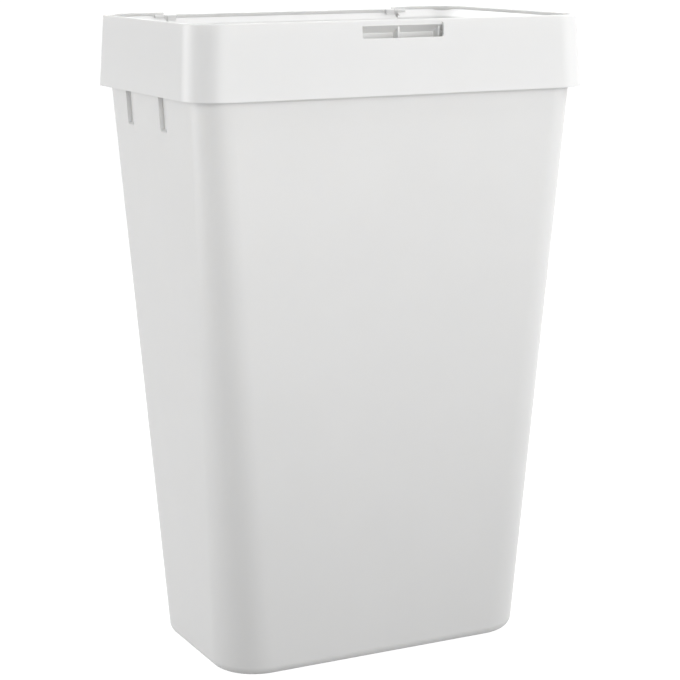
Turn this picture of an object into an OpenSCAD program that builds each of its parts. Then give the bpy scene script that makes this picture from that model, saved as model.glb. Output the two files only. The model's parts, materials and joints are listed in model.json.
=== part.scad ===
// Open-topped waste bin: a tapered body, a collar that lifts off it, and a bag frame
// that is hinged at the back of the collar and folds up so that the bag can be changed.
// Millimetres, +Z up, front towards -Y. The origin is the centre of the base, on the floor.

/* [Overall] */
// Height from the floor to the rim of the collar
bin_h = 640; // [520:5:780]
// Width across the lower edge of the collar
bin_w = 424; // [350:1:520]
// Depth across the lower edge of the collar
bin_d = 283; // [235:1:345]

/* [Body] */
// How far each wall leans in between the collar and the floor
body_taper = 32.5; // [24:0.5:40]
// Thickness of the walls
body_wall = 2.8; // [2.2:0.1:3.4]
// Thickness of the floor
body_floor = 3.2; // [2.5:0.1:5]
// Corner radius just under the collar
body_top_r = 31; // [24:1:36]
// Corner radius at the floor
body_base_r = 47; // [36:1:56]
// Rounding of the edge between the walls and the underside
base_round = 10; // [6:0.5:12]
// Rounding of the edge between the walls and the inside of the floor
inside_round = 9; // [4:0.5:11]
// Width of the ring that the bin stands on
foot_ring_w = 11; // [6:0.5:14]
// Height of the hollow inside the foot ring
foot_hollow = 2.5; // [1:0.5:4]
// Distance from the rim of the collar down to the rim of the body
rim_drop = 28; // [25:0.5:32]
// Thickness of the flange that turns out around the rim of the body
rim_flange_t = 3; // [2:0.5:5]

/* [Nesting channels] */
// Width of a channel
channel_w = 17; // [10:1:20]
// Depth of a channel
channel_depth = 4; // [2.5:0.5:5]
// Distance from the front channel to the back one, centre to centre
channel_gap = 87; // [60:1:100]
// How far the pair sits behind the middle of the side wall
channel_offset = 13.5; // [0:0.5:30]
// Length of a channel that shows below the collar
channel_shown = 35; // [20:1:80]
// Length of a channel that the collar hides
channel_hidden = 24; // [10:1:26]

/* [Collar] */
// Height of the collar
collar_h = 70; // [60:1:90]
// How far the collar stands out from the body at its lower edge
overhang = 10.5; // [10:0.5:14]
// How far each side of the collar leans in towards the rim
collar_lean = 4; // [2:0.5:4.5]
// Thickness of the skirt
collar_wall = 2.8; // [2.2:0.1:3]
// Corner radius of the skirt
collar_r = 37; // [32:1:44]
// Rounding along the top of the rim
rim_round = 1.2; // [0.6:0.1:1.3]
// Thickness of the shelf that rests on the rim of the body
shelf_t = 3; // [2:0.5:4]
// How far the shelf reaches in past the locating lip
shelf_reach = 3; // [2:0.5:4]
// Thickness of the lip that locates the collar inside the body
locating_t = 2; // [1.5:0.1:2.5]
// Depth of the locating lip under the shelf
locating_h = 12; // [6:1:16]
// Gap between the locating lip and the inside of the body
locating_gap = 1; // [0.5:0.1:1.2]
// Gap between the flange of the body and the inside of the skirt
flange_gap = 0.5; // [0.3:0.1:0.8]

/* [Hand hole] */
// Width of the hand hole
hand_w = 86; // [80:1:110]
// Height of the hand hole
hand_h = 14; // [12:0.5:17]
// Height of the strip of rim above the hand hole
hand_strip = 3; // [2.5:0.5:4]
// Corner radius of the hand hole
hand_r = 2.5; // [1:0.5:4]

/* [Bag frame] */
// Distance from the outside of the rim to the skirt of the frame
frame_inset = 18; // [18:0.5:22]
// Drop of the sloping lip from its outer edge to the skirt
frame_slope = 6.5; // [5:0.5:8]
// How far the outer edge of the lip lies below the rim of the collar
frame_below_rim = 3.5; // [3.5:0.5:5]
// Thickness of the lip and the skirt
frame_t = 2.2; // [1.8:0.1:2.8]
// Depth of the skirt below the rim of the collar
frame_depth = 55; // [40:1:60]
// How far the skirt leans in towards its lower edge
frame_lean = 2; // [1:0.5:3]
// Gap between the lip and the inside of the collar
frame_gap = 3.5; // [3.3:0.1:4]
// Thickness of a rib under the lip
rib_t = 2; // [1.5:0.1:3]
// Length of a rib, out from the skirt
rib_reach = 9; // [8:0.5:9.5]

/* [Hinge] */
// Distance between the two ears, centre to centre
ear_span = 266; // [200:1:270]
// Thickness of an ear
ear_t = 2; // [1.6:0.1:3]
// Distance from the outside of the rim to the hinge axis
axis_inset = 8; // [8:0.5:9]
// Distance from the rim of the collar down to the hinge axis
axis_drop = 4.5; // [4:0.5:6]
// Outer radius of the ears and the knuckles
knuckle_r = 2.2; // [2:0.1:2.4]
// Length of a knuckle
knuckle_len = 10; // [6:1:14]
// Radius of a hinge pin
pin_r = 1; // [0.8:0.1:1.2]
// Radial clearance around a hinge pin
pin_clear = 0.05; // [0.02:0.01:0.1]
// Radius of the head of a hinge pin
pin_head_r = 1.7; // [1.4:0.1:2]
// Thickness of the head of a hinge pin
pin_head_t = 1; // [0.6:0.1:1.5]
// Gap between an ear and the knuckles beside it
ear_gap = 0.5; // [0.3:0.1:1]
// Gap around the head of a hinge pin, and between parts that pass each other
swing_gap = 0.5; // [0.3:0.1:1]
// How far the back corners of the lip are trimmed, so that they swing past the collar
corner_trim = 2.2; // [2:0.1:4]
// How much lower the rim and the lip are between the ears
hinge_step = 2.5; // [1:0.5:2.5]

/* [Hidden] */

// Straight pieces in each rounded corner, and steps in an edge rounding
corner_steps = 12;
round_steps = 5;
// Overlap between bodies that are joined, and overrun of a cut
eps = 0.6;

// Heights
collar_z = bin_h - collar_h;
rim_z = bin_h - rim_drop;
shelf_z = rim_z + shelf_t;
floor_z = foot_hollow + body_floor;
hand_top_z = bin_h - hand_strip;
frame_z = bin_h - frame_below_rim;
frame_low_z = bin_h - frame_depth;
axis_z = bin_h - axis_drop;

// Insets are measured in from the collar's lower edge, which is the widest outline.
wall_lean = body_taper / collar_z;
function collar_inset(z) = collar_lean * (z - collar_z) / collar_h;
function skin_inset(z) = collar_inset(z) + collar_wall;
function body_inset(z) = overhang + wall_lean * (collar_z - z);
function body_r(z) = body_base_r + (body_top_r - body_base_r) * z / collar_z;

// The flange around the rim of the body follows the inside of the skirt, less its gap.
flange_in = skin_inset(rim_z - rim_flange_t) + flange_gap;
flange_r = collar_r - collar_wall - flange_gap;

// The locating lip follows the inside of the body, which is narrowest at the lip's lower edge.
locate_z = rim_z - locating_h;
locate_in = body_inset(locate_z) + body_wall + locating_gap;
locate_r = body_r(locate_z) - body_wall - locating_gap;
shelf_in = locate_in + locating_t + shelf_reach;

// The bag frame: outer edge of its lip, then the outside of its skirt.
lip_in = skin_inset(frame_z) + frame_gap;
skirt_in = collar_lean + frame_inset;
lip_under = frame_slope + frame_t * 0.3;
rib_in = skirt_in - rib_reach;
function frame_r(inset) = collar_r - (inset - collar_lean);
function lip_under_z(inset) = frame_z - frame_t - lip_under * (inset - lip_in) / (skirt_in - lip_in);

// Hinge line at the back of the collar
axis_y = bin_d / 2 - collar_lean - axis_inset;
ear_x = ear_span / 2;
slot_half = ear_t / 2 + ear_gap;
bore_r = pin_r + pin_clear;
pin_head_x = ear_x - slot_half - knuckle_len - 2 * pin_clear;
// Each back corner of the lip is trimmed square to this direction, given from +X towards +Y.
trim_angle = 55;
// A knuckle stands on the lip, which is lower between the ears.
knuckle_foot = hinge_step + frame_t;

// Places of the ribs: beside the ends of the hand hole and on at the same pitch
rib_pitch = hand_w / 2;
front_flat = bin_w / 2 - skirt_in - frame_r(skirt_in);
side_flat = bin_d / 2 - skirt_in - frame_r(skirt_in);
front_ribs = [for (x = [0 : rib_pitch : front_flat]) x];
back_ribs = [for (x = front_ribs) if (x < ear_x - slot_half - knuckle_len - rib_t) x];
side_ribs = [for (y = [0 : rib_pitch : side_flat]) y];

// Points of a rounded rectangle, counter-clockwise from above, at height z
function ring(inset, r, z) =
    let (cx = bin_w / 2 - inset - r, cy = bin_d / 2 - inset - r)
    [for (q = [0 : 3]) for (k = [0 : corner_steps])
        let (a = 90 * (q + k / corner_steps),
             sx = (q == 0 || q == 3) ? 1 : -1,
             sy = (q < 2) ? 1 : -1)
        [sx * cx + r * cos(a), sy * cy + r * sin(a), z]];

// Skin over a list of rings, either capped at both ends or joined round into a closed band
module skin(rings, closed = false) {
    n = len(rings[0]);
    m = len(rings);
    last = closed ? m - 1 : m - 2;
    sides = [for (i = [0 : last]) for (j = [0 : n - 1])
        let (a = i * n + j,
             b = i * n + (j + 1) % n,
             c = ((i + 1) % m) * n + (j + 1) % n,
             d = ((i + 1) % m) * n + j)
        each [[a, d, c], [a, c, b]]];
    caps = closed ? [] : [[for (j = [0 : n - 1]) j],
                          [for (j = [n - 1 : -1 : 0]) (m - 1) * n + j]];
    polyhedron(points = [for (r = rings) each r], faces = concat(sides, caps));
}

// A ring of the body, set in from its outer face
function body_ring(z, inset) = ring(body_inset(z) + inset, body_r(z) - inset, z);

// Flat plate across the depth, with its outline given in [inset from the back, z]
module plate_yz(outline, t) {
    rotate([90, 0, 90]) linear_extrude(t, center = true)
        polygon([for (p = outline) [bin_d / 2 - p[0], p[1]]]);
}

// Flat plate across the width, with its outline given in [inset from the right, z]
module plate_xz(outline, t) {
    rotate([90, 0, 0]) linear_extrude(t, center = true)
        polygon([for (p = outline) [bin_w / 2 - p[0], p[1]]]);
}

// Cylinder along X, centred on the hinge line
module on_axis(x0, x1, r) {
    translate([x0, axis_y, axis_z]) rotate([0, 90, 0]) cylinder(h = x1 - x0, r = r, $fn = 64);
}

// Side wall pressed in over one channel: its outline from the outer face inwards
function channel_outline(out, deep, grow) =
    let (z0 = collar_z - channel_shown - grow, z1 = collar_z + channel_hidden + grow)
    [[body_inset(z0) + out, z0],
     [body_inset(z1) + out, z1],
     [body_inset(z1) + deep, z1 - deep],
     [body_inset(z0) + deep, z0 + deep / 2]];

// The two channels of one side
module channels(out, deep, grow) {
    for (y = [-channel_gap / 2, channel_gap / 2])
        translate([0, y + channel_offset, 0])
            plate_xz(channel_outline(out, deep, grow), channel_w + 2 * grow);
}

module body() {
    foot = [for (z = [foot_hollow, 0]) body_ring(z, base_round + foot_ring_w)];
    base_edge = [for (k = [0 : round_steps]) let (a = 90 * k / round_steps)
        body_ring(base_round * (1 - cos(a)), base_round * (1 - sin(a)))];
    rim = [
        body_ring(rim_z - rim_flange_t, 0),
        ring(flange_in, flange_r, rim_z - rim_flange_t),
        ring(flange_in, flange_r, rim_z),
        body_ring(rim_z, body_wall)];
    floor_edge = [for (k = [0 : round_steps]) let (a = 90 * k / round_steps)
        body_ring(floor_z + inside_round * (1 - sin(a)), body_wall + inside_round * (1 - cos(a)))];
    color("whitesmoke") difference() {
        union() {
            skin(concat(foot, base_edge, rim, floor_edge));
            for (side = [0, 1]) mirror([side, 0, 0])
                channels(body_wall / 2, channel_depth + body_wall, body_wall);
        }
        for (side = [0, 1]) mirror([side, 0, 0]) channels(-eps, channel_depth, 0);
    }
}

// The skirt, the shelf on the body's rim and the locating lip, as one moulded section
module collar_section() {
    skirt_ring = function (depth, z) ring(collar_inset(z) + depth, collar_r - depth, z);
    rim = [for (k = [0 : round_steps]) let (a = 90 * k / round_steps)
        skirt_ring(rim_round * (1 - cos(a)), bin_h - rim_round * (1 - sin(a)))];
    rim_inner = [for (k = [0 : round_steps]) let (a = 90 * k / round_steps)
        skirt_ring(collar_wall - rim_round * (1 - sin(a)), bin_h - rim_round * (1 - cos(a)))];
    shelf = [
        skirt_ring(collar_wall, shelf_z),
        ring(shelf_in, locate_r - locating_t - shelf_reach, shelf_z),
        ring(shelf_in, locate_r - locating_t - shelf_reach, rim_z),
        ring(shelf_in - shelf_reach, locate_r - locating_t, rim_z),
        ring(shelf_in - shelf_reach, locate_r - locating_t, locate_z),
        ring(locate_in, locate_r, locate_z),
        ring(locate_in, locate_r, rim_z),
        skirt_ring(collar_wall, rim_z)];
    ends = [skirt_ring(collar_wall, collar_z), skirt_ring(0, collar_z)];
    skin(concat(rim, rim_inner, shelf, ends), closed = true);
}

// Opening for the fingers, through the front of the skirt
module hand_hole() {
    low = hand_top_z - hand_h;
    wide = hand_w / 2;
    translate([0, -bin_d / 2 + collar_lean + collar_wall + eps, 0]) rotate([90, 0, 0])
        linear_extrude(collar_lean + collar_wall + 3 * eps) {
            translate([-wide + hand_r, low]) square([hand_w - 2 * hand_r, hand_h]);
            translate([-wide, low + hand_r]) square([hand_w, hand_h - 2 * hand_r]);
            for (x = [-wide + hand_r, wide - hand_r]) for (z = [low + hand_r, hand_top_z - hand_r])
                translate([x, z]) circle(hand_r, $fn = 48);
        }
}

// Ear that stands on the shelf, in front of the back wall, and carries one hinge pin
module ear() {
    back = skin_inset(shelf_z) - eps;
    front = collar_lean + axis_inset + knuckle_r;
    translate([ear_x, 0, 0]) plate_yz([
        [back, shelf_z - eps], [back, axis_z],
        [front, axis_z], [front, shelf_z - eps]], ear_t);
    on_axis(ear_x - ear_t / 2, ear_x + ear_t / 2, knuckle_r);
}

module collar() {
    step_w = ear_span - ear_t;
    color("white") difference() {
        union() {
            collar_section();
            for (side = [0, 1]) mirror([side, 0, 0]) ear();
        }
        hand_hole();
        translate([-step_w / 2, axis_y + knuckle_r, bin_h - hinge_step])
            cube([step_w, bin_d, hinge_step + eps]);
        on_axis(-ear_x - ear_t, ear_x + ear_t, bore_r);
    }
}

// Sloping lip and skirt, as one moulded section
module frame_section() {
    corner = skirt_in + frame_t;
    low = skirt_in + frame_lean;
    skin([
        ring(low, frame_r(low), frame_low_z),
        ring(skirt_in, frame_r(skirt_in), lip_under_z(skirt_in)),
        ring(lip_in, frame_r(lip_in), frame_z - frame_t),
        ring(lip_in, frame_r(lip_in), frame_z),
        ring(skirt_in - frame_t / 2, frame_r(skirt_in - frame_t / 2), lip_under_z(skirt_in) + frame_t * 1.4),
        ring(skirt_in + frame_t / 2, frame_r(skirt_in + frame_t / 2), lip_under_z(skirt_in) + frame_t * 0.7),
        ring(corner, frame_r(corner), lip_under_z(skirt_in) - frame_t / 2),
        ring(low + frame_t, frame_r(low + frame_t), frame_low_z)], closed = true);
}

// Outline of a rib, from the skirt out under the lip, standing on the shelf
function rib_outline(step) = [
    [rib_in, shelf_z],
    [rib_in, lip_under_z(rib_in) + frame_t / 2 - step],
    [skirt_in + frame_t / 2, lip_under_z(skirt_in) + frame_t / 2 - step],
    [skirt_in + frame_t / 2, shelf_z]];

module ribs() {
    for (side = [-1, 1]) {
        for (x = front_ribs) translate([side * x, 0, 0])
            mirror([0, 1, 0]) plate_yz(rib_outline(0), rib_t);
        for (x = back_ribs) translate([side * x, 0, 0]) plate_yz(rib_outline(hinge_step), rib_t);
        for (y = side_ribs) for (turn = [0, 1])
            translate([0, side * y, 0]) mirror([turn, 0, 0]) plate_xz(rib_outline(0), rib_t);
    }
}

// Space that the frame leaves free around one ear and the head of its pin
module ear_space() {
    reach = frame_inset - frame_t - axis_inset;
    translate([ear_x - slot_half, axis_y - reach, shelf_z])
        cube([2 * slot_half, reach + bin_d, bin_h - shelf_z]);
    on_axis(pin_head_x - pin_head_t - swing_gap, pin_head_x + 2 * pin_clear, pin_head_r + swing_gap);
}

// Space behind the trimmed edge of the lip at one back corner
module trimmed_corner() {
    corner = frame_r(lip_in);
    translate([bin_w / 2 - lip_in - corner, bin_d / 2 - lip_in - corner, shelf_z]) rotate(trim_angle)
        translate([corner - corner_trim, -corner, 0]) cube([corner, 2 * corner, bin_h]);
}

// Knuckle from x0 to x1, with a foot down to the lip
module knuckle(x0, x1, foot) {
    on_axis(x0, x1, knuckle_r);
    translate([x0, axis_y - knuckle_r, axis_z - foot]) cube([x1 - x0, 2 * knuckle_r, foot]);
}

module bag_frame() {
    inner = ear_x - slot_half;
    outer = ear_x + slot_half;
    step_box_y = bin_d / 2 - skirt_in - frame_t / 2;
    color("gainsboro") difference() {
        union() {
            difference() {
                frame_section();
                translate([-inner, step_box_y, shelf_z]) cube([2 * inner, bin_d, bin_h]);
            }
            translate([0, 0, -hinge_step]) intersection() {
                frame_section();
                translate([-inner, step_box_y - eps / 2, frame_low_z + hinge_step])
                    cube([2 * inner, bin_d, bin_h]);
            }
            ribs();
            for (side = [0, 1]) mirror([side, 0, 0]) {
                knuckle(inner - knuckle_len, inner, knuckle_foot);
                knuckle(outer, outer + knuckle_len, frame_t / 2);
            }
        }
        for (side = [0, 1]) mirror([side, 0, 0]) {
            ear_space();
            trimmed_corner();
        }
        on_axis(-outer - knuckle_len - eps, outer + knuckle_len + eps, bore_r);
    }
}

// Headed pin through the inner knuckle, the ear and the outer knuckle
module hinge_pin() {
    color("silver") {
        on_axis(pin_head_x, ear_x + slot_half + knuckle_len, pin_r);
        on_axis(pin_head_x - pin_head_t, pin_head_x, pin_head_r);
    }
}

module hinge_pin_right() {
    hinge_pin();
}

module hinge_pin_left() {
    mirror([1, 0, 0]) hinge_pin();
}

body();
collar();
bag_frame();
hinge_pin_left();
hinge_pin_right();
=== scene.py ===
# %% [markdown]
# # A white open-topped waste bin
#
# The bin is three white mouldings and two steel pins: a tall tapered body, a deep collar that sits
# over its rim, and a bag frame hinged inside the back of the collar. Everything here is in metres,
# with +Z up and the front towards -Y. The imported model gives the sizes, and each visible piece is
# made again with the rounded edges, thin walls and fine surface that a real moulding has.

# %% Load the frame
import bpy
import bmesh
import json
import math
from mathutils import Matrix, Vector


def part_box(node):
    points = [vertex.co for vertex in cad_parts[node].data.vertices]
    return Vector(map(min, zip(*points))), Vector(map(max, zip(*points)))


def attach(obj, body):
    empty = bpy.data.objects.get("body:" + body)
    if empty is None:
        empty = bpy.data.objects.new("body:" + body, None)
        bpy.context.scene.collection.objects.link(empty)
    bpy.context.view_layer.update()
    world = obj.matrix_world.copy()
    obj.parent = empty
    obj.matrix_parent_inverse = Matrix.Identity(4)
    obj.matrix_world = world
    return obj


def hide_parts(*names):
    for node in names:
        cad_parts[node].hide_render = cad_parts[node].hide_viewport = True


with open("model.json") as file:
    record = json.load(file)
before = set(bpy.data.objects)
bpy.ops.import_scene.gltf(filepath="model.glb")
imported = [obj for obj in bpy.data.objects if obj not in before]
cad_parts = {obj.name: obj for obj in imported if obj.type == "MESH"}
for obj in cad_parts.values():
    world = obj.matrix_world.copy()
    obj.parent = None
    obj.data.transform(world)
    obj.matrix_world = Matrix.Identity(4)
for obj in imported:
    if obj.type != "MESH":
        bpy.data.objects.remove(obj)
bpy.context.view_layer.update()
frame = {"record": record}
MM = 0.001

# %% [markdown]
# ## Sizes
#
# The three overall sizes are read from the collar, and the rim from the body. The rest are the
# choices a mould maker would write on the drawing: wall thickness, lean, corner radii and gaps.

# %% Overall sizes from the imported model
collar_low, collar_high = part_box("collar")
HALF_W, HALF_D, BIN_H = collar_high[0], collar_high[1], collar_high[2]
COLLAR_Z, RIM_Z = collar_low[2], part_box("body")[1][2]
COLLAR_H = BIN_H - COLLAR_Z
print("bin", round(2 * HALF_W, 4), "x", round(2 * HALF_D, 4), "x", round(BIN_H, 4))

# %% Body and collar sizes
OVERHANG, BODY_TAPER, BODY_WALL, BODY_FLOOR = 10.5 * MM, 32.5 * MM, 2.8 * MM, 3.2 * MM
BODY_TOP_R, BODY_BASE_R = 31 * MM, 47 * MM
BASE_ROUND, INSIDE_ROUND = 10 * MM, 9 * MM
FOOT_RING_W, FOOT_HOLLOW = 11 * MM, 2.5 * MM
FLANGE_T, FLANGE_GAP = 3 * MM, 0.5 * MM
COLLAR_LEAN, COLLAR_WALL, COLLAR_R = 4 * MM, 2.8 * MM, 37 * MM
SHELF_REACH, LOCATING_T, LOCATING_H, LOCATING_GAP = 3 * MM, 2 * MM, 12 * MM, 1 * MM
SHELF_Z = RIM_Z + 3 * MM
FLOOR_Z = FOOT_HOLLOW + BODY_FLOOR

# %% Hand hole, bag frame and hinge sizes
HAND_W, HAND_H, HAND_STRIP, HAND_R = 86 * MM, 14 * MM, 3 * MM, 2.5 * MM
FRAME_INSET, FRAME_SLOPE, FRAME_T, FRAME_LEAN = 18 * MM, 6.5 * MM, 2.2 * MM, 2 * MM
FRAME_Z, FRAME_LOW_Z, FRAME_GAP = BIN_H - 3.5 * MM, BIN_H - 55 * MM, 3.5 * MM
RIB_T, RIB_REACH = 2 * MM, 9 * MM
EAR_X, EAR_T, EAR_GAP = 133 * MM, 2 * MM, 0.5 * MM
KNUCKLE_R, KNUCKLE_LEN, HINGE_STEP = 2.2 * MM, 10 * MM, 2.5 * MM
PIN_R, PIN_HEAD_R, PIN_HEAD_T, PIN_CLEAR = 1 * MM, 1.7 * MM, 1 * MM, 0.05 * MM
CORNER_TRIM, TRIM_ANGLE = 2.2 * MM, math.radians(55)
hinge = next(j for j in frame["record"]["behaviour"]["joints"] if j["type"] == "hinge")
AXIS_Y, AXIS_Z = hinge["pos_m"][1], hinge["pos_m"][2]
print("hinge line at y", AXIS_Y, "z", AXIS_Z)


# %% How the insets change with height
def body_inset(z):
    """How far the body's outside lies in from the collar's lower edge."""
    return OVERHANG + BODY_TAPER * (COLLAR_Z - z) / COLLAR_Z


def body_r(z):
    """Corner radius of the body, which grows towards the floor."""
    return BODY_BASE_R + (BODY_TOP_R - BODY_BASE_R) * z / COLLAR_Z


def collar_inset(z):
    """How far the collar's outside has leaned in at a height."""
    return COLLAR_LEAN * (z - COLLAR_Z) / COLLAR_H


# %% [markdown]
# ## Wrapping a section round the bin
#
# All three mouldings follow one rule: a thin section, drawn as inset against height, is carried
# round a rounded rectangle. Sweeping a curve would keep one corner radius, but these corners open
# out as the walls lean in. So a flat sheet is built first, with one column for each place round the
# outline and one row for each point of the section, and a node tree wraps it. The half width and
# half depth are inputs, so the same tree serves every moulding.

# %% Columns: places round a rounded rectangle
def spread(n):
    """n even steps from -1 to 1, without the ends."""
    return [-1 + 2 * k / n for k in range(1, n)]


def outline_columns(across_stops, along_stops, corner_steps):
    """Each column is (share of the half width, share of the half depth, direction it faces)."""
    corner = [math.pi / 2 * k / corner_steps for k in range(corner_steps + 1)]
    columns = [(1, s, 0.0) for s in along_stops]
    columns += [(1, 1, a) for a in corner]
    columns += [(-s, 1, math.pi / 2) for s in across_stops]
    columns += [(-1, 1, a + math.pi / 2) for a in corner]
    columns += [(-1, -s, math.pi) for s in [-t for t in reversed(along_stops)]]
    columns += [(-1, -1, a + math.pi) for a in corner]
    columns += [(s, -1, 1.5 * math.pi) for s in across_stops]
    columns += [(1, -1, a + 1.5 * math.pi) for a in corner]
    return columns


# %% Sheet: rows of a section by columns of an outline
def carry(mesh, name, kind, values):
    """Gives each point of a mesh a value under a name, for a node tree to read."""
    attribute = mesh.attributes.new(name, kind, "POINT")
    if kind == "FLOAT":
        attribute.data.foreach_set("value", values)
    else:
        attribute.data.foreach_set("vector", [part for value in values for part in value])


def section_sheet(name, rows, columns, closed):
    """A sheet whose rows are (inset, corner radius, height, 1 on an inner face)."""
    n, m = len(columns), len(rows)
    faces = []
    for i in range(m if closed else m - 1):
        for j in range(n):
            nxt = (i + 1) % m
            faces.append((i * n + j, i * n + (j + 1) % n, nxt * n + (j + 1) % n, nxt * n + j))
    if not closed:
        faces.append(tuple(reversed(range(n))))
        faces.append(tuple(range((m - 1) * n, m * n)))
    mesh = bpy.data.meshes.new(name)
    mesh.from_pydata([(0, 0, 0)] * (n * m), [], faces)
    carry(mesh, "place", "FLOAT_VECTOR", [c for _ in rows for c in columns])
    carry(mesh, "section", "FLOAT_VECTOR", [row[:3] for row in rows for _ in columns])
    carry(mesh, "inner", "FLOAT", [row[3] for row in rows for _ in columns])
    sheet = bpy.data.objects.new(name, mesh)
    bpy.context.scene.collection.objects.link(sheet)
    return sheet


# %% Small helpers for node trees
def new_tree(name, sizes):
    """A geometry tree with a named float input for each size, and its two end nodes."""
    tree = bpy.data.node_groups.new(name, "GeometryNodeTree")
    tree.interface.new_socket("Geometry", in_out="INPUT", socket_type="NodeSocketGeometry")
    for size in sizes:
        tree.interface.new_socket(size, in_out="INPUT", socket_type="NodeSocketFloat")
    tree.interface.new_socket("Geometry", in_out="OUTPUT", socket_type="NodeSocketGeometry")
    return tree, tree.nodes.new("NodeGroupInput"), tree.nodes.new("NodeGroupOutput")


def calc(tree, operation, *values):
    """One math node; each value is a number or another node's output."""
    node = tree.nodes.new("ShaderNodeMath")
    node.operation = operation
    for socket, value in zip(node.inputs, values):
        if isinstance(value, (int, float)):
            socket.default_value = value
        else:
            tree.links.new(value, socket)
    return node.outputs[0]


def read_attribute(tree, name, kind):
    """The value that each point of the sheet carries under a name."""
    node = tree.nodes.new("GeometryNodeInputNamedAttribute")
    node.data_type = kind
    node.inputs["Name"].default_value = name
    return node.outputs["Attribute"]


def split(tree, vector):
    """The three parts of a vector."""
    node = tree.nodes.new("ShaderNodeSeparateXYZ")
    tree.links.new(vector, node.inputs[0])
    return node.outputs[0], node.outputs[1], node.outputs[2]


def join(tree, x, y, z):
    """A vector from three parts."""
    node = tree.nodes.new("ShaderNodeCombineXYZ")
    for socket, value in zip(node.inputs, (x, y, z)):
        if isinstance(value, (int, float)):
            socket.default_value = value
        else:
            tree.links.new(value, socket)
    return node.outputs[0]


def finish_tree(tree, geometry, end, material):
    """Realize Instances and Set Material, then out."""
    realize = tree.nodes.new("GeometryNodeRealizeInstances")
    paint = tree.nodes.new("GeometryNodeSetMaterial")
    paint.inputs["Material"].default_value = material
    tree.links.new(geometry, realize.inputs[0])
    tree.links.new(realize.outputs[0], paint.inputs[0])
    tree.links.new(paint.outputs[0], end.inputs[0])


# %% The wrap tree
def wrap_tree(material):
    """Puts each point of a sheet at its place round the outline and up the section."""
    tree, start, end = new_tree("wrap_round_outline", ["Half width", "Half depth"])
    across, along, turn = split(tree, read_attribute(tree, "place", "FLOAT_VECTOR"))
    inset, corner, height = split(tree, read_attribute(tree, "section", "FLOAT_VECTOR"))
    back = calc(tree, "ADD", inset, corner)

    def coordinate(half, share, trig):
        flat = calc(tree, "MULTIPLY", share, calc(tree, "SUBTRACT", half, back))
        return calc(tree, "ADD", flat, calc(tree, "MULTIPLY", corner, calc(tree, trig, turn)))

    x = coordinate(start.outputs["Half width"], across, "COSINE")
    y = coordinate(start.outputs["Half depth"], along, "SINE")
    move = tree.nodes.new("GeometryNodeSetPosition")
    tree.links.new(start.outputs["Geometry"], move.inputs["Geometry"])
    tree.links.new(join(tree, x, y, height), move.inputs["Position"])
    finish_tree(tree, move.outputs[0], end, material)
    return tree


# %% Running trees and keeping the mesh
def run_tree(piece, tree, sizes):
    """Adds a tree as a modifier, with its inputs set by their identifiers."""
    modifier = piece.modifiers.new(tree.name, "NODES")
    modifier.node_group = tree
    for item in tree.interface.items_tree:
        if item.in_out == "INPUT" and item.name in sizes:
            modifier[item.identifier] = sizes[item.name]


def settle(piece):
    """Turns what the modifiers make into the piece's own mesh, and removes them."""
    bpy.context.view_layer.update()
    seen = piece.evaluated_get(bpy.context.evaluated_depsgraph_get())
    mesh = bpy.data.meshes.new_from_object(seen)
    piece.modifiers.clear()
    piece.data = mesh
    for name in ("place", "section", "inner"):
        if name in mesh.attributes:
            mesh.attributes.remove(mesh.attributes[name])
    return piece


def smooth(piece):
    """Smooth faces, shaded by the large flat ones so that walls stay flat."""
    piece.data.polygons.foreach_set("use_smooth", [True] * len(piece.data.polygons))
    modifier = piece.modifiers.new("weighted", "WEIGHTED_NORMAL")
    modifier.keep_sharp = True
    modifier.weight = 100


# %% [markdown]
# ## White plastic
#
# The mouldings are white polypropylene from a lightly spark-eroded mould: close to white with a
# trace of warmth, satin rather than glossy, with a texture too fine to see as dots. A single colour
# would look like paint, so slow noise varies the colour by a percent or so, a second noise varies
# the gloss, and the bump has two scales: the fine texture, and the faint waviness of a large thin
# wall as it cools. Part of the light passes a few millimetres into the plastic, which softens its
# edges and lets some through the thinnest walls. A colour alone would make the shadows too hard.

# %% Moulded plastic
def noise(tree, coordinates, scale, detail):
    """Smooth random values over the surface, from 0 to 1."""
    node = tree.nodes.new("ShaderNodeTexNoise")
    node.inputs["Scale"].default_value = scale
    node.inputs["Detail"].default_value = detail
    tree.links.new(coordinates, node.inputs["Vector"])
    return node.outputs["Fac"]


def ramp(tree, value, low, high):
    """Moves values from between 0 and 1 to between low and high."""
    node = tree.nodes.new("ShaderNodeMapRange")
    node.inputs["To Min"].default_value = low
    node.inputs["To Max"].default_value = high
    tree.links.new(value, node.inputs["Value"])
    return node.outputs["Result"]


def bump(tree, height, strength, distance, below=None):
    """Tilts the surface by a pattern of heights, over another bump if one is given."""
    node = tree.nodes.new("ShaderNodeBump")
    node.inputs["Strength"].default_value = strength
    node.inputs["Distance"].default_value = distance
    tree.links.new(height, node.inputs["Height"])
    if below is not None:
        tree.links.new(below, node.inputs["Normal"])
    return node.outputs["Normal"]


COLOUR_SCALE, GLOSS_SCALE, WAVE_SCALE, GRAIN_SCALE = 14, 60, 9, 1600
WAVE_HEIGHT, GRAIN_HEIGHT = 0.6 * MM, 0.12 * MM
LIGHT_SHARE, LIGHT_DEPTH = 0.4, 3 * MM


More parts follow.
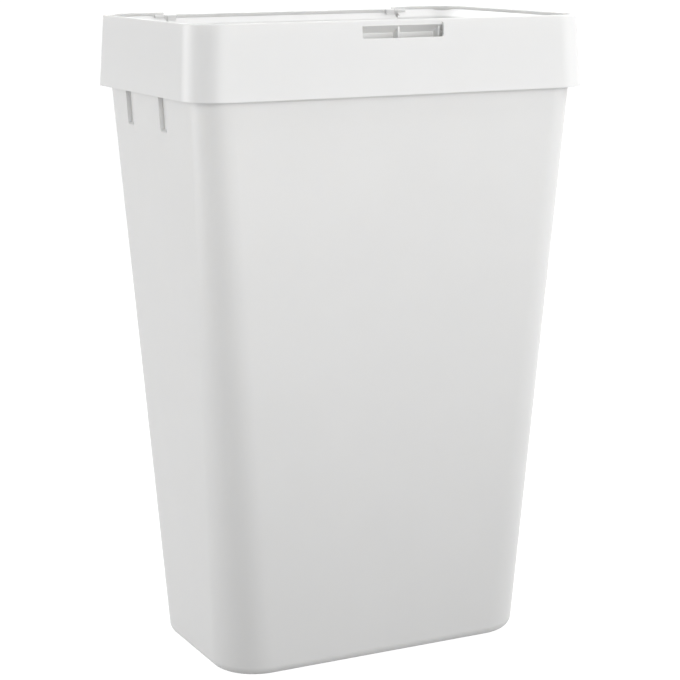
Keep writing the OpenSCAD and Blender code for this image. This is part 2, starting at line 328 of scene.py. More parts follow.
def moulded_plastic(name, pale, shade, gloss_low, gloss_high):
    """White satin plastic: pale and shade are the two ends of its colour."""
    material = bpy.data.materials.new(name)
    material.use_nodes = True
    tree = material.node_tree
    shader = tree.nodes["Principled BSDF"]
    where = tree.nodes.new("ShaderNodeTexCoord").outputs["Object"]
    mix = tree.nodes.new("ShaderNodeMix")
    mix.data_type = "RGBA"
    mix.inputs["A"].default_value = (*pale, 1)
    mix.inputs["B"].default_value = (*shade, 1)
    tree.links.new(noise(tree, where, COLOUR_SCALE, 3), mix.inputs["Factor"])
    tree.links.new(mix.outputs["Result"], shader.inputs["Base Color"])
    gloss = ramp(tree, noise(tree, where, GLOSS_SCALE, 4), gloss_low, gloss_high)
    tree.links.new(gloss, shader.inputs["Roughness"])
    wavy = bump(tree, noise(tree, where, WAVE_SCALE, 1), 0.25, WAVE_HEIGHT)
    grain = bump(tree, noise(tree, where, GRAIN_SCALE, 2), 0.12, GRAIN_HEIGHT, below=wavy)
    tree.links.new(grain, shader.inputs["Normal"])
    shader.inputs["IOR"].default_value = 1.49
    shader.inputs["Subsurface Weight"].default_value = LIGHT_SHARE
    shader.inputs["Subsurface Radius"].default_value = (1.0, 0.97, 0.92)
    shader.inputs["Subsurface Scale"].default_value = LIGHT_DEPTH
    return material


body_plastic = moulded_plastic(
    "body_plastic", (0.80, 0.80, 0.795), (0.77, 0.77, 0.765), 0.42, 0.52)
collar_plastic = moulded_plastic(
    "collar_plastic", (0.83, 0.83, 0.825), (0.81, 0.81, 0.805), 0.38, 0.46)
frame_plastic = moulded_plastic(
    "frame_plastic", (0.82, 0.82, 0.815), (0.79, 0.79, 0.785), 0.42, 0.50)
print("plastics:", body_plastic.name, collar_plastic.name, frame_plastic.name)


# %% [markdown]
# ## Pin steel
#
# The hinge pins are short lengths of drawn steel wire with a headed end. Drawing leaves fine lines
# along the wire, so the noise is stretched along X, which is the way both pins lie.

# %% Drawn steel
LINE_SCALE, LINE_STRETCH, LINE_HEIGHT = 4000, 0.05, 0.03 * MM


def drawn_steel(name):
    """Bright steel wire, with fine lines along X."""
    material = bpy.data.materials.new(name)
    material.use_nodes = True
    tree = material.node_tree
    shader = tree.nodes["Principled BSDF"]
    where = tree.nodes.new("ShaderNodeTexCoord").outputs["Object"]
    stretch = tree.nodes.new("ShaderNodeMapping")
    stretch.inputs["Scale"].default_value = (LINE_STRETCH, 1, 1)
    tree.links.new(where, stretch.inputs["Vector"])
    lines = noise(tree, stretch.outputs["Vector"], LINE_SCALE, 2)
    tree.links.new(ramp(tree, lines, 0.22, 0.38), shader.inputs["Roughness"])
    tree.links.new(bump(tree, lines, 0.3, LINE_HEIGHT), shader.inputs["Normal"])
    shader.inputs["Base Color"].default_value = (0.62, 0.62, 0.63, 1)
    shader.inputs["Metallic"].default_value = 1.0
    return material


pin_steel = drawn_steel("pin_steel")
print("steel:", pin_steel.name)

# %% [markdown]
# ## The body
#
# The body is a deep bucket with walls under 3 mm thick. Its section runs up the outside from the
# hollow inside the foot ring, round the base edge, up the wall, out round the rim flange, and down
# the inside to the floor. Every edge gets a real radius in the section itself, because a bevel
# added later would also catch the pressed channels.

# %% Section helpers
def arc(inset, z, radius, first, last, steps):
    """Points round an arc in the section; 0 degrees faces outwards and 90 faces up."""
    angles = [math.radians(first + (last - first) * k / steps) for k in range(steps + 1)]
    return [(inset - radius * math.cos(a), z + radius * math.sin(a)) for a in angles]


def climb(first, last, step):
    """Heights from first to last in even steps near a given length, without the ends."""
    n = max(1, round(abs(last - first) / step))
    return [first + (last - first) * k / n for k in range(1, n)]


def body_row(depth, z, inner=0):
    """A row that lies depth inside the body's outer face."""
    return (body_inset(z) + depth, body_r(z) - depth, z, inner)


# %% Channel sizes
CHANNEL_W, CHANNEL_DEPTH, CHANNEL_GAP, CHANNEL_OFFSET = 17 * MM, 4 * MM, 87 * MM, 13.5 * MM
CHANNEL_LOW, CHANNEL_HIGH = COLLAR_Z - 35 * MM, COLLAR_Z + 24 * MM
CHANNEL_EDGE = 1.4 * MM
channel_centres = (CHANNEL_OFFSET - CHANNEL_GAP / 2, CHANNEL_OFFSET + CHANNEL_GAP / 2)

# %% Heights of the body's rows: coarse on plain wall, fine at the two ends of a channel
FINE, MIDDLE, COARSE = 0.8 * MM, 6 * MM, 30 * MM
heights, reached = [], BASE_ROUND
for limit, step in ((CHANNEL_LOW - 6 * MM, COARSE), (CHANNEL_LOW + 9 * MM, FINE),
                    (CHANNEL_HIGH - 9 * MM, MIDDLE), (CHANNEL_HIGH + 4 * MM, FINE)):
    heights += climb(reached, limit, step) + [limit]
    reached = limit

# %% Section of the body
FOOT_EDGE, RIM_EDGE = 0.6 * MM, 0.7 * MM
foot_in = BASE_ROUND + FOOT_RING_W
flange_low = RIM_Z - FLANGE_T
flange_in = collar_inset(flange_low) + COLLAR_WALL + FLANGE_GAP
flange_r = COLLAR_R - COLLAR_WALL - FLANGE_GAP


def flange_row(depth, z):
    """A row that lies depth inside the edge of the rim flange."""
    return (flange_in + depth, flange_r - depth, z, 0)


def body_arc(depth, z, radius, first, last, steps, inner=0):
    """Body rows round an arc whose middle is at a depth and a height."""
    return [body_row(d, h, inner) for d, h in arc(depth, z, radius, first, last, steps)]


def flange_arc(z, first, last):
    """Flange rows round one edge of the rim flange."""
    return [flange_row(d, h) for d, h in arc(RIM_EDGE, z, RIM_EDGE, first, last, 4)]


body_rows = [body_row(foot_in + 2 * MM, FOOT_HOLLOW), body_row(foot_in + 1 * MM, FOOT_HOLLOW)]
body_rows += body_arc(foot_in + FOOT_EDGE, FOOT_HOLLOW - FOOT_EDGE, FOOT_EDGE, 90, 0, 3)[1:]
body_rows += body_arc(foot_in - FOOT_EDGE, FOOT_EDGE, FOOT_EDGE, 180, 270, 3)
body_rows += [body_row(BASE_ROUND + 1.5 * MM, 0)]
body_rows += body_arc(BASE_ROUND, BASE_ROUND, BASE_ROUND, -90, 0, 10)
body_rows += [body_row(0, z) for z in heights]
body_rows += [body_row(0, flange_low - 1.2 * MM), body_row(0, flange_low - 0.1 * MM)]
body_rows += flange_arc(flange_low + RIM_EDGE, -90, 0) + flange_arc(RIM_Z - RIM_EDGE, 0, 90)
body_rows += body_arc(BODY_WALL - RIM_EDGE, RIM_Z - RIM_EDGE, RIM_EDGE, 90, 180, 4, 1)
body_rows += [body_row(BODY_WALL, RIM_Z - 3 * MM, 1)]
inside_low = FLOOR_Z + INSIDE_ROUND
body_rows += [body_row(BODY_WALL, z, 1) for z in reversed(heights) if z > inside_low + 5 * MM]
body_rows += body_arc(BODY_WALL + INSIDE_ROUND, inside_low, INSIDE_ROUND, 0, -90, 10, 1)
body_rows += [body_row(BODY_WALL + INSIDE_ROUND + 2 * MM, FLOOR_Z, 1)]
print("body section rows:", len(body_rows))


# %% Columns of the body
def channel_stops(centre):
    """Fine columns across one channel, as shares of the flat part of a side wall."""
    flat = HALF_D - body_inset(COLLAR_Z) - body_r(COLLAR_Z)
    reach, apart = 14 * MM, 0.5 * MM
    first, last = (centre - reach) / flat, (centre + reach) / flat
    n = round((last - first) * flat / apart)
    return [first + (last - first) * k / n for k in range(n + 1)]


side_stops = sorted(channel_stops(channel_centres[0]) + channel_stops(channel_centres[1]))
coarse = [s for s in spread(14) if all(abs(s - t) > 0.04 for t in side_stops)]
body_columns = outline_columns(spread(12), sorted(side_stops + coarse), 20)
print("body columns:", len(body_columns))


# %% [markdown]
# ## The nesting channels
#
# Two channels on each side are pressed inwards, so that bins stacked inside each other stop before
# they jam. Cutting them with a boolean would leave hard edges and slivers. The wall has fine rows
# and columns there instead, and a second node tree pushes its points in by a smooth rule, on the
# outside and the inside together, so that the wall keeps its thickness.

# %% The channel tree
def soft_step(tree, value, start, end):
    """0 below start, 1 above end, and a smooth rise between them."""
    node = tree.nodes.new("ShaderNodeMapRange")
    node.interpolation_type = "SMOOTHSTEP"
    for name, limit in (("From Min", start), ("From Max", end)):
        if isinstance(limit, (int, float)):
            node.inputs[name].default_value = limit
        else:
            tree.links.new(limit, node.inputs[name])
    tree.links.new(value, node.inputs["Value"])
    return node.outputs["Result"]


def channel_tree(material):
    """Presses upright channels into the two side walls."""
    sizes = ["Depth", "Width", "Front centre", "Back centre", "Bottom", "Top", "Edge", "Wall"]
    tree, start, end = new_tree("press_channels", sizes)
    size = start.outputs
    position = tree.nodes.new("GeometryNodeInputPosition").outputs[0]
    x, y, z = split(tree, position)
    _, _, turn = split(tree, read_attribute(tree, "place", "FLOAT_VECTOR"))
    facing = calc(tree, "COSINE", turn)
    on_side = calc(tree, "GREATER_THAN", calc(tree, "ABSOLUTE", facing), 0.9999)
    grown = calc(tree, "MULTIPLY", size["Wall"], read_attribute(tree, "inner", "FLOAT"))
    half = calc(tree, "ADD", calc(tree, "MULTIPLY", size["Width"], 0.5), grown)
    inside = None
    for centre in ("Front centre", "Back centre"):
        off = calc(tree, "ABSOLUTE", calc(tree, "SUBTRACT", y, size[centre]))
        spare = calc(tree, "SUBTRACT", half, off)
        one = soft_step(tree, spare, 0.0, size["Edge"])
        inside = one if inside is None else calc(tree, "ADD", inside, one)
    above = calc(tree, "ADD", calc(tree, "SUBTRACT", z, size["Bottom"]), grown)
    below = calc(tree, "ADD", calc(tree, "SUBTRACT", size["Top"], z), grown)
    slope = calc(tree, "MULTIPLY", size["Edge"], 1.8)
    tall = calc(tree, "MULTIPLY",
                soft_step(tree, above, 0.0, slope), soft_step(tree, below, 0.0, slope))
    press = calc(tree, "MULTIPLY", calc(tree, "MULTIPLY", inside, tall), size["Depth"])
    inwards = calc(tree, "MULTIPLY", facing, -1.0)
    shift = calc(tree, "MULTIPLY", calc(tree, "MULTIPLY", press, on_side), inwards)
    move = tree.nodes.new("GeometryNodeSetPosition")
    tree.links.new(size["Geometry"], move.inputs["Geometry"])
    tree.links.new(join(tree, shift, 0.0, 0.0), move.inputs["Offset"])
    finish_tree(tree, move.outputs[0], end, material)
    return tree


# %% Make the body
body_shell = section_sheet("body_shell", body_rows, body_columns, closed=False)
run_tree(body_shell, wrap_tree(body_plastic), {"Half width": HALF_W, "Half depth": HALF_D})
run_tree(body_shell, channel_tree(body_plastic), {
    "Depth": CHANNEL_DEPTH, "Width": CHANNEL_W, "Front centre": channel_centres[0],
    "Back centre": channel_centres[1], "Bottom": CHANNEL_LOW, "Top": CHANNEL_HIGH,
    "Edge": CHANNEL_EDGE, "Wall": BODY_WALL})
settle(body_shell)
smooth(body_shell)
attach(body_shell, "bin_body")
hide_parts("body")
print("body_shell faces:", len(body_shell.data.polygons))

# %% [markdown]
# ## The collar
#
# The collar is wrapped by the same tree. Its section is a closed band: the plain skirt that shows,
# the shelf that rests on the rim of the body, and the short lip that locates it inside. These
# could be three bands laid together, but one closed band leaves no seams. Two ears for the hinge
# are joined on. The hand hole, the lowered stretch at the back and the hinge bores are cut out with
# booleans, where a toolmaker would leave steel in the mould, and a narrow bevel then breaks every
# sharp edge.

# %% Solid helpers for cuts and lugs
def box_piece(name, low, high):
    """A closed box between two corners, to cut with or to join on."""
    mesh = bpy.data.meshes.new(name)
    corners = [(x, y, z)
               for z in (low[2], high[2]) for y in (low[1], high[1]) for x in (low[0], high[0])]
    faces = [(0, 2, 3, 1), (4, 5, 7, 6), (0, 1, 5, 4), (1, 3, 7, 5), (3, 2, 6, 7), (2, 0, 4, 6)]
    mesh.from_pydata(corners, [], faces)
    piece = bpy.data.objects.new(name, mesh)
    bpy.context.scene.collection.objects.link(piece)
    return piece


def rod_piece(name, x0, x1, profile, sides=48):
    """A turned solid on the hinge line: profile is a list of (x share from 0 to 1, radius)."""
    mesh = bpy.data.meshes.new(name)
    points, faces = [], []
    for share, radius in profile:
        for k in range(sides):
            a = 2 * math.pi * k / sides
            x = x0 + (x1 - x0) * share
            points.append((x, AXIS_Y + radius * math.cos(a), AXIS_Z + radius * math.sin(a)))
    for i in range(len(profile) - 1):
        for k in range(sides):
            n = (k + 1) % sides
            faces.append((i * sides + k, i * sides + n, (i + 1) * sides + n, (i + 1) * sides + k))
    faces.append(tuple(reversed(range(sides))))
    faces.append(tuple(range((len(profile) - 1) * sides, len(profile) * sides)))
    mesh.from_pydata(points, [], faces)
    tidy_normals(mesh)
    piece = bpy.data.objects.new(name, mesh)
    bpy.context.scene.collection.objects.link(piece)
    return piece


def tidy_normals(mesh):
    """Turns every face of a closed mesh outwards."""
    bm = bmesh.new()
    bm.from_mesh(mesh)
    bmesh.ops.recalc_face_normals(bm, faces=bm.faces)
    bm.to_mesh(mesh)
    bm.free()


def drop_slivers(mesh):
    """Merges points that a round has left in one place."""
    bm = bmesh.new()
    bm.from_mesh(mesh)
    bmesh.ops.remove_doubles(bm, verts=bm.verts, dist=0.0001 * MM)
    bm.to_mesh(mesh)
    bm.free()


def carve(piece, tool, operation="DIFFERENCE"):
    """Cuts a tool out of a piece, or joins it on, and removes the tool."""
    modifier = piece.modifiers.new("carve", "BOOLEAN")
    modifier.operation = operation
    modifier.solver = "EXACT"
    modifier.object = tool
    settle(piece)
    bpy.data.objects.remove(tool, do_unlink=True)


def both_sides(make):
    """Calls make for the right side, then the left."""
    for side in (1, -1):
        make(side)


# %% Section of the collar
locate_z = RIM_Z - LOCATING_H
locate_in = body_inset(locate_z) + BODY_WALL + LOCATING_GAP
locate_r = body_r(locate_z) - BODY_WALL - LOCATING_GAP


def skirt_row(depth, z):
    """A row that lies depth inside the outer face of the skirt."""
    return (collar_inset(z) + depth, COLLAR_R - depth, z, 0)


def lip_row(depth, z):
    """A row that lies depth inside the outer face of the locating lip."""
    return (locate_in + depth, locate_r - depth, z, 0)


RIM_ROUND = COLLAR_WALL / 2 - 0.05 * MM
collar_rows = [skirt_row(0, z) for z in climb(COLLAR_Z, BIN_H - RIM_ROUND, 12 * MM)]
collar_rows += [skirt_row(d, z) for d, z in arc(RIM_ROUND, BIN_H - RIM_ROUND, RIM_ROUND, 0, 90, 6)]
inner_arc = arc(COLLAR_WALL - RIM_ROUND, BIN_H - RIM_ROUND, RIM_ROUND, 90, 180, 6)
collar_rows += [skirt_row(d, z) for d, z in inner_arc]
collar_rows += [skirt_row(COLLAR_WALL, z) for z in climb(BIN_H - RIM_ROUND, SHELF_Z, 8 * MM)]
collar_rows += [skirt_row(COLLAR_WALL, SHELF_Z), lip_row(LOCATING_T + SHELF_REACH, SHELF_Z)]
collar_rows += [lip_row(LOCATING_T + SHELF_REACH, RIM_Z), lip_row(LOCATING_T, RIM_Z)]
collar_rows += [lip_row(LOCATING_T, locate_z), lip_row(0, locate_z), lip_row(0, RIM_Z)]
collar_rows += [skirt_row(COLLAR_WALL, RIM_Z)]
collar_rows += [skirt_row(COLLAR_WALL, z) for z in climb(RIM_Z, COLLAR_Z, 12 * MM)]
collar_rows += [skirt_row(COLLAR_WALL, COLLAR_Z), skirt_row(0, COLLAR_Z)]
collar_columns = outline_columns(spread(14), spread(10), 24)
collar_shell = section_sheet("collar_shell", collar_rows, collar_columns, closed=True)
run_tree(collar_shell, wrap_tree(collar_plastic), {"Half width": HALF_W, "Half depth": HALF_D})
settle(collar_shell)
print("collar rows:", len(collar_rows), "faces:", len(collar_shell.data.polygons))


# %% Hand hole
def rounded_slot(name, y0, y1):
    """The cutter for the hand hole, with round corners, running through the front skirt."""
    top, wide, steps = BIN_H - HAND_STRIP, HAND_W / 2, 8
    middle = top - HAND_H / 2
    outline = []
    for quarter, (sx, sz) in enumerate(((1, 1), (-1, 1), (-1, -1), (1, -1))):
        for k in range(steps + 1):
            a = math.pi / 2 * (quarter + k / steps)
            outline.append((sx * (wide - HAND_R) + HAND_R * math.cos(a),
                            middle + sz * (HAND_H / 2 - HAND_R) + HAND_R * math.sin(a)))
    n = len(outline)
    mesh = bpy.data.meshes.new(name)
    points = [(x, y, z) for y in (y0, y1) for x, z in outline]
    faces = [(k, (k + 1) % n, n + (k + 1) % n, n + k) for k in range(n)]
    mesh.from_pydata(points, [], faces + [tuple(range(n)), tuple(reversed(range(n, 2 * n)))])
    tidy_normals(mesh)
    piece = bpy.data.objects.new(name, mesh)
    bpy.context.scene.collection.objects.link(piece)
    return piece


front = -HALF_D + COLLAR_LEAN
carve(collar_shell, rounded_slot("hand_cut", front - 8 * MM, front + COLLAR_WALL + 1 * MM))

# %% Hinge ears, lowered back rim and bores
EAR_ROOT = 0.6 * MM
slot_half = EAR_T / 2 + EAR_GAP
bore_r = PIN_R + PIN_CLEAR


def add_ear(side):
    """An ear that stands on the shelf in front of the back wall."""
    back_y = HALF_D - collar_inset(SHELF_Z) - COLLAR_WALL + EAR_ROOT
    x0, x1 = side * EAR_X - EAR_T / 2, side * EAR_X + EAR_T / 2
    low = (x0, AXIS_Y - KNUCKLE_R, SHELF_Z - EAR_ROOT)
    carve(collar_shell, box_piece("ear_web", low, (x1, back_y, AXIS_Z)), "UNION")
    carve(collar_shell, rod_piece("ear_eye", x0, x1, [(0, KNUCKLE_R), (1, KNUCKLE_R)]), "UNION")


both_sides(add_ear)
step_half = EAR_X - EAR_T / 2
step_low = (-step_half, AXIS_Y + KNUCKLE_R, BIN_H - HINGE_STEP)
carve(collar_shell, box_piece("rim_step", step_low, (step_half, 2 * HALF_D, 2 * BIN_H)))
bore_end = EAR_X + EAR_T
carve(collar_shell, rod_piece("ear_bore", -bore_end, bore_end, [(0, bore_r), (1, bore_r)]))


# %% Round the cut edges
def break_edges(piece, width):
    """A narrow round on every edge sharper than 40 degrees."""
    modifier = piece.modifiers.new("break_edges", "BEVEL")
    modifier.width = width
    modifier.segments = 3
    modifier.limit_method = "ANGLE"
    modifier.angle_limit = math.radians(40)
    modifier.harden_normals = False


break_edges(collar_shell, 0.5 * MM)
smooth(collar_shell)
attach(collar_shell, "collar_unit")
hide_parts("collar")
print("collar_shell faces:", len(collar_shell.data.polygons))

# %% [markdown]
# ## The bag frame
#
# Inside the collar hangs the frame that hides the edge of the bag. Its lip slopes in from the rim
# and turns down into a skirt. Between the ears it lies lower, in step with the collar's rim, so
# that stretch is cut out and the same band is joined in again further down. Thin ribs stand under
# the lip on the collar's shelf, and the rib by the middle of the hand hole shows through it. They
# could be drawn one by one, but they repeat at one pitch round all four walls, so a node tree sets
# a copy of one rib at each place.

# %% Section of the frame
lip_in = collar_inset(FRAME_Z) + COLLAR_WALL + FRAME_GAP
skirt_in = COLLAR_LEAN + FRAME_INSET
lip_drop = FRAME_SLOPE + FRAME_T * 0.3


def frame_row(inset, z):
    """A row of the frame; its corners share one centre with the collar's."""
    return (inset, COLLAR_R - (inset - COLLAR_LEAN), z, 0)


def lip_under_z(inset):
    """Height of the underside of the sloping lip."""
    return FRAME_Z - FRAME_T - lip_drop * (inset - lip_in) / (skirt_in - lip_in)


bend_z = lip_under_z(skirt_in)
low_in = skirt_in + FRAME_LEAN
frame_rows = [
    frame_row(low_in, FRAME_LOW_Z), frame_row(skirt_in, bend_z),
    frame_row(lip_in, FRAME_Z - FRAME_T), frame_row(lip_in, FRAME_Z),
    frame_row(skirt_in - FRAME_T / 2, bend_z + FRAME_T * 1.4),
    frame_row(skirt_in + FRAME_T / 2, bend_z + FRAME_T * 0.7),
    frame_row(skirt_in + FRAME_T, bend_z - FRAME_T / 2),
    frame_row(low_in + FRAME_T, FRAME_LOW_Z)]
frame_columns = outline_columns(spread(12), spread(8), 20)


def frame_band(name):
    """The whole band of the frame, before anything is cut."""
    band = section_sheet(name, frame_rows, frame_columns, closed=True)
    run_tree(band, wrap_tree(frame_plastic), {"Half width": HALF_W, "Half depth": HALF_D})
    return settle(band)


frame_shell = frame_band("frame_shell")

# %% Lower the stretch between the ears
FAR = 1
inner_x, outer_x = EAR_X - slot_half, EAR_X + slot_half
step_y = HALF_D - skirt_in - FRAME_T / 2
carve(frame_shell, box_piece("step_space", (-inner_x, step_y, SHELF_Z), (inner_x, FAR, FAR)))
lowered = frame_band("lowered_lip")
keep_low = (-inner_x, step_y - 0.3 * MM, FRAME_LOW_Z + HINGE_STEP)
carve(lowered, box_piece("step_keep", keep_low, (inner_x, FAR, FAR)), "INTERSECT")
for vertex in lowered.data.vertices:
    vertex.co.z -= HINGE_STEP
carve(frame_shell, lowered, "UNION")
print("lip lowered by", HINGE_STEP, "between x", round(-inner_x, 4), "and", round(inner_x, 4))


# %% The rib tree
def rib_blank(step):
    """One rib in its own space: x outwards from the skirt, y across its thickness, z up."""
    out = RIB_REACH
    tuck = FRAME_T / 2
    profile = [(-tuck, SHELF_Z), (out, SHELF_Z), (out, lip_under_z(skirt_in - out) + tuck - step),
               (-tuck, bend_z + tuck - step)]
    mesh = bpy.data.meshes.new("rib_blank")
    points = [(x, y, z) for y in (-RIB_T / 2, RIB_T / 2) for x, z in profile]
    faces = [(0, 1, 2, 3), (7, 6, 5, 4)]
    faces += [(k, 4 + k, 4 + (k + 1) % 4, (k + 1) % 4) for k in range(4)]
    mesh.from_pydata(points, [], faces)
    tidy_normals(mesh)
    blank = bpy.data.objects.new("rib_blank", mesh)
    bpy.context.scene.collection.objects.link(blank)
    return blank


def rib_tree(blank, material):
    """Sets a copy of the blank at each point, turned to face outwards."""
    tree, start, end = new_tree("ribs_under_lip", [])
    source = tree.nodes.new("GeometryNodeObjectInfo")
    source.inputs["Object"].default_value = blank
    source.inputs["As Instance"].default_value = True
    copies = tree.nodes.new("GeometryNodeInstanceOnPoints")
    tree.links.new(start.outputs["Geometry"], copies.inputs["Points"])
    tree.links.new(source.outputs["Geometry"], copies.inputs["Instance"])
    turn = read_attribute(tree, "turn", "FLOAT")
    tree.links.new(join(tree, 0.0, 0.0, turn), copies.inputs["Rotation"])
    finish_tree(tree, copies.outputs[0], end, material)
    return tree


def ribs(name, places, step):
    """Ribs at places given as (x, y, direction that they face)."""
    mesh = bpy.data.meshes.new(name)
    mesh.from_pydata([(x, y, 0) for x, y, _ in places], [], [])
    carry(mesh, "turn", "FLOAT", [turn for _, _, turn in places])
    piece = bpy.data.objects.new(name, mesh)
    bpy.context.scene.collection.objects.link(piece)
    blank = rib_blank(step)
    run_tree(piece, rib_tree(blank, frame_plastic), {})
    settle(piece)
    bpy.data.objects.remove(blank, do_unlink=True)
    return piece


# %% Place the ribs
pitch = HAND_W / 2
flat_x = HALF_W - skirt_in - frame_row(skirt_in, 0)[1]
flat_y = HALF_D - skirt_in - frame_row(skirt_in, 0)[1]
wall_x, wall_y = HALF_W - skirt_in, HALF_D - skirt_in


def marks(reach):
    """Whole pitches each side of the middle, up to a reach."""
    n = int(reach / pitch)
    return [k * pitch for k in range(-n, n + 1)]


places = [(x, -wall_y, -math.pi / 2) for x in marks(flat_x)]
places += [(wall_x, y, 0) for y in marks(flat_y)]
places += [(-wall_x, y, math.pi) for y in marks(flat_y)]
back_places = [(x, wall_y, math.pi / 2) for x in marks(inner_x - KNUCKLE_LEN - RIB_T)]
carve(frame_shell, ribs("lip_ribs", places, 0), "UNION")
carve(frame_shell, ribs("back_ribs", back_places, HINGE_STEP), "UNION")
print("ribs:", len(places) + len(back_places))

# %% [markdown]
# ## The hinge on the frame
#
# The frame swings on four knuckles, one on each side of each collar ear, with one bore through them
# all. Being only at the back, they can't be part of the section, so they are joined on as short
# rods, each with a square foot down to the lip. Then the space for each ear and pin head is cut
# clear, and the back corners of the lip are trimmed a little, because they would meet the collar as
# the frame swings up.

# %% Knuckles, ear spaces and trimmed corners
HEAD_GAP = 0.5 * MM
pin_shoulder = inner_x - KNUCKLE_LEN - 2 * PIN_CLEAR


def add_knuckles(side):
    """A knuckle on each side of an ear, with a foot down to the lip."""
    inner_foot, outer_foot = HINGE_STEP + FRAME_T, FRAME_T / 2
    for x0, x1, foot in ((inner_x - KNUCKLE_LEN, inner_x, inner_foot),
                         (outer_x, outer_x + KNUCKLE_LEN, outer_foot)):
        ends = sorted((side * x0, side * x1))
        eye = rod_piece("knuckle", ends[0], ends[1], [(0, KNUCKLE_R), (1, KNUCKLE_R)])
        carve(frame_shell, eye, "UNION")
        low = (ends[0], AXIS_Y - KNUCKLE_R, AXIS_Z - foot)
        high = (ends[1], AXIS_Y + KNUCKLE_R, AXIS_Z)
        carve(frame_shell, box_piece("knuckle_foot", low, high), "UNION")


def clear_ear(side):
    """Space for one ear and for the head of its pin."""
    reach = FRAME_INSET - FRAME_T - (HALF_D - COLLAR_LEAN - AXIS_Y)
    ends = sorted((side * inner_x, side * outer_x))
    low = (ends[0], AXIS_Y - reach, SHELF_Z)
    carve(frame_shell, box_piece("ear_space", low, (ends[1], FAR, FAR)))
    first, last = pin_shoulder - PIN_HEAD_T - HEAD_GAP, pin_shoulder + 2 * PIN_CLEAR
    ends = sorted((side * first, side * last))
    wide = PIN_HEAD_R + HEAD_GAP
    carve(frame_shell, rod_piece("head_space", ends[0], ends[1], [(0, wide), (1, wide)]))


def trim_corner(side):
    """Trims the back corner of the lip, which would meet the collar as the frame swings up."""
    corner = frame_row(lip_in, 0)[1]
    across, along = math.cos(TRIM_ANGLE), math.sin(TRIM_ANGLE)
    centre_x, centre_y = HALF_W - lip_in - corner, HALF_D - lip_in - corner
    tool = box_piece("trim", (corner - CORNER_TRIM, -corner, SHELF_Z), (2 * corner, corner, FAR))
    for vertex in tool.data.vertices:
        u, v, z = vertex.co
        x, y = centre_x + u * across - v * along, centre_y + u * along + v * across
        vertex.co = (side * x, y, z)
    tidy_normals(tool.data)
    carve(frame_shell, tool)


both_sides(add_knuckles)
both_sides(clear_ear)
both_sides(trim_corner)
bore_end = outer_x + KNUCKLE_LEN + 1 * MM
carve(frame_shell, rod_piece("frame_bore", -bore_end, bore_end, [(0, bore_r), (1, bore_r)]))
break_edges(frame_shell, 0.3 * MM)
settle(frame_shell)
drop_slivers(frame_shell.data)
smooth(frame_shell)
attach(frame_shell, "frame_unit")
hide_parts("bag_frame")
print("frame_shell faces:", len(frame_shell.data.polygons))

# %% [markdown]
# ## The hinge pins
#
# Each pin is turned about the hinge line: a low domed head, a straight shank, and a chamfered tip
# that finds its way through the knuckle, the ear and the second knuckle. A plain rod would do where
# it is hidden, but the head shows from above and from inside when the frame is up, so a profile is
# turned instead.

# %% Turn the pins
def turned_pin(side, name, node):
    """A headed pin, with its head towards the middle of the bin."""
    first, last = pin_shoulder - PIN_HEAD_T, outer_x + KNUCKLE_LEN
    span = last - first
    dome = [(PIN_HEAD_T * 0.6 * (1 - math.cos(a)) / span, PIN_HEAD_R * math.sin(a))
            for a in [math.radians(10 + 16 * k) for k in range(6)]]
    profile = dome + [
        ((PIN_HEAD_T - 0.1 * MM) / span, PIN_HEAD_R), (PIN_HEAD_T / span, PIN_HEAD_R - 0.1 * MM),
        (PIN_HEAD_T / span, PIN_R), (1 - 0.6 * MM / span, PIN_R), (1, PIN_R - 0.4 * MM)]
    pin = rod_piece(name, side * first, side * last, profile)
    pin.data.materials.append(pin_steel)
    pin.data.polygons.foreach_set("use_smooth", [len(p.vertices) == 4 for p in pin.data.polygons])
    pin.data.set_sharp_from_angle(angle=math.radians(35))
    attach(pin, "collar_unit")
    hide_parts(node)
    return pin


pins = [turned_pin(-1, "pin_left", "hinge_pin_left"), turned_pin(1, "pin_right", "hinge_pin_right")]
print("pin faces:", [len(pin.data.polygons) for pin in pins])

# %% [markdown]
# ## Floor, light and camera
#
# The bin stands on a plain pale floor that runs out of view in every direction. White plastic on
# white shows its shape only where the light falls away. One strong light would burn out whatever
# faces it, so soft lights stand all round, each too weak to whiten a wall by itself: a large one
# low behind the left side, two high at the right and the back, one overhead that fills the mouth,
# and small ones close to the front. None stands square to the front left corner, which leaves that
# round a shade darker. The floor glows, to stay white far away, and it is seen in the gloss of the
# plastic but lights nothing else, because light from below would wash out the lower half of the
# bin. The surroundings are white to the eye and give a weaker light, which keeps the hand hole and
# the channels from going black. The camera stands two metres off with a long lens, which keeps the
# upright edges nearly parallel, and looks down a little on the front left corner.

# %% Floor
FLOOR_PALE, FLOOR_GLOW, FLOOR_REACH = 0.2, 1.0, 40


def floor_material():
    """A matt floor that glows evenly."""
    material = bpy.data.materials.new("pale_floor")
    material.use_nodes = True
    shader = material.node_tree.nodes["Principled BSDF"]
    shader.inputs["Base Color"].default_value = (FLOOR_PALE, FLOOR_PALE, FLOOR_PALE, 1)
    shader.inputs["Roughness"].default_value = 0.9
    shader.inputs["Emission Color"].default_value = (1, 1, 1, 1)
    shader.inputs["Emission Strength"].default_value = FLOOR_GLOW
    return material


floor_mesh = bpy.data.meshes.new("floor")
floor_signs = ((-1, -1), (1, -1), (1, 1), (-1, 1))
floor_corners = [(x * FLOOR_REACH, y * FLOOR_REACH, 0) for x, y in floor_signs]
floor_mesh.from_pydata(floor_corners, [], [(0, 1, 2, 3)])
floor_mesh.materials.append(floor_material())
floor = bpy.data.objects.new("floor", floor_mesh)
floor.visible_diffuse = False
bpy.context.scene.collection.objects.link(floor)

# %% Lights
LIGHT_AIM = Vector((0, 0, 0.33))


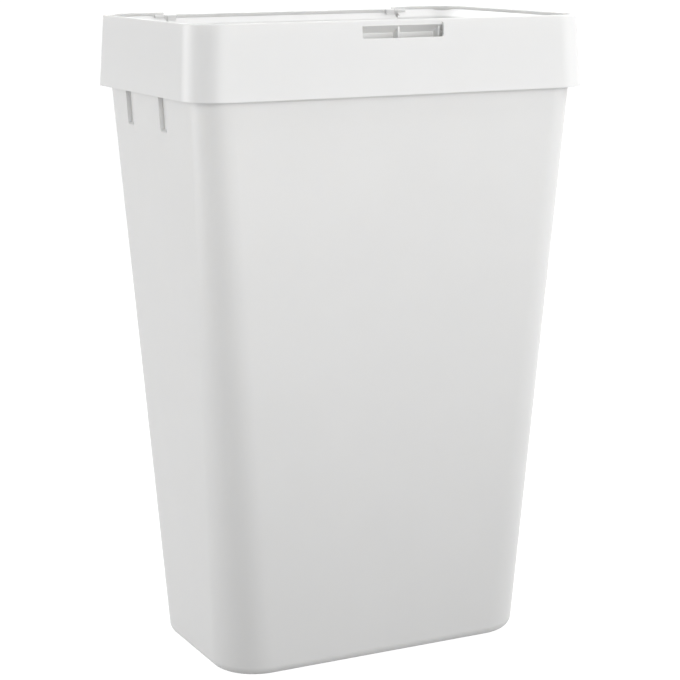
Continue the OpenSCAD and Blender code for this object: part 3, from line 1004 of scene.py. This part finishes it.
def outward(azimuth, elevation):
    """The way out from the bin; azimuth 0 is in front and 90 degrees at its right."""
    level = math.cos(elevation)
    return Vector((math.sin(azimuth) * level, -math.cos(azimuth) * level, math.sin(elevation)))


def soft_light(name, azimuth, elevation, distance, size, power):
    """A square soft light, with its angles in degrees and its power in watts."""
    light = bpy.data.lights.new(name, "AREA")
    light.shape, light.size, light.energy = "SQUARE", size, power
    lamp = bpy.data.objects.new(name, light)
    bpy.context.scene.collection.objects.link(lamp)
    away = outward(math.radians(azimuth), math.radians(elevation))
    lamp.location = LIGHT_AIM + away * distance
    lamp.location.z = max(lamp.location.z, size / 2 + 0.02)
    lamp.rotation_euler = (lamp.location - LIGHT_AIM).to_track_quat("Z", "Y").to_euler()
    lamp.visible_camera = False


soft_light("left_rear_light", -120, 5, 2.6, 1.4, 34)
soft_light("right_rear_light", 105, 35, 2.6, 1.4, 48)
soft_light("back_light", 165, 35, 2.6, 1.4, 20.5)
soft_light("top_light", 180, 62, 2.6, 1.4, 14)
soft_light("near_left_light", -15, 15, 1.3, 0.7, 6.4)
soft_light("near_right_light", 30, 15, 1.3, 0.7, 1.6)
soft_light("near_side_light", 60, 15, 1.3, 0.7, 4)
soft_light("near_top_light", 0, 75, 1.3, 0.7, 2.2)

# %% Surroundings
ROOM_LIGHT, ROOM_SEEN = 0.3, 1.0
world = bpy.data.worlds.new("surroundings")
world.use_nodes = True
sky = world.node_tree
path = sky.nodes.new("ShaderNodeLightPath")
strength = sky.nodes.new("ShaderNodeMapRange")
strength.inputs["To Min"].default_value = ROOM_LIGHT
strength.inputs["To Max"].default_value = ROOM_SEEN
sky.links.new(path.outputs["Is Camera Ray"], strength.inputs["Value"])
sky.links.new(strength.outputs["Result"], sky.nodes["Background"].inputs["Strength"])
sky.nodes["Background"].inputs["Color"].default_value = (1, 1, 1, 1)
bpy.context.scene.world = world
bpy.context.scene.view_settings.view_transform = "Standard"

# %% Camera
AZIMUTH, ELEVATION, ROLL = math.radians(-26.34), math.radians(11.80), math.radians(-0.27)
DISTANCE, LENS, SENSOR = 2.027, 104.4, 36.0
target = Vector((0.0004, -0.0004, 0.309))
back = outward(AZIMUTH, ELEVATION)
camera_data = bpy.data.cameras.new("camera")
camera_data.lens, camera_data.sensor_width = LENS, SENSOR
camera = bpy.data.objects.new("camera", camera_data)
bpy.context.scene.collection.objects.link(camera)
camera.location = target + back * DISTANCE
camera.rotation_euler = back.to_track_quat("Z", "Y").to_euler()
camera.rotation_euler.rotate_axis("Z", ROLL)
bpy.context.scene.camera = camera

# %% Update the scene
bpy.context.view_layer.update()
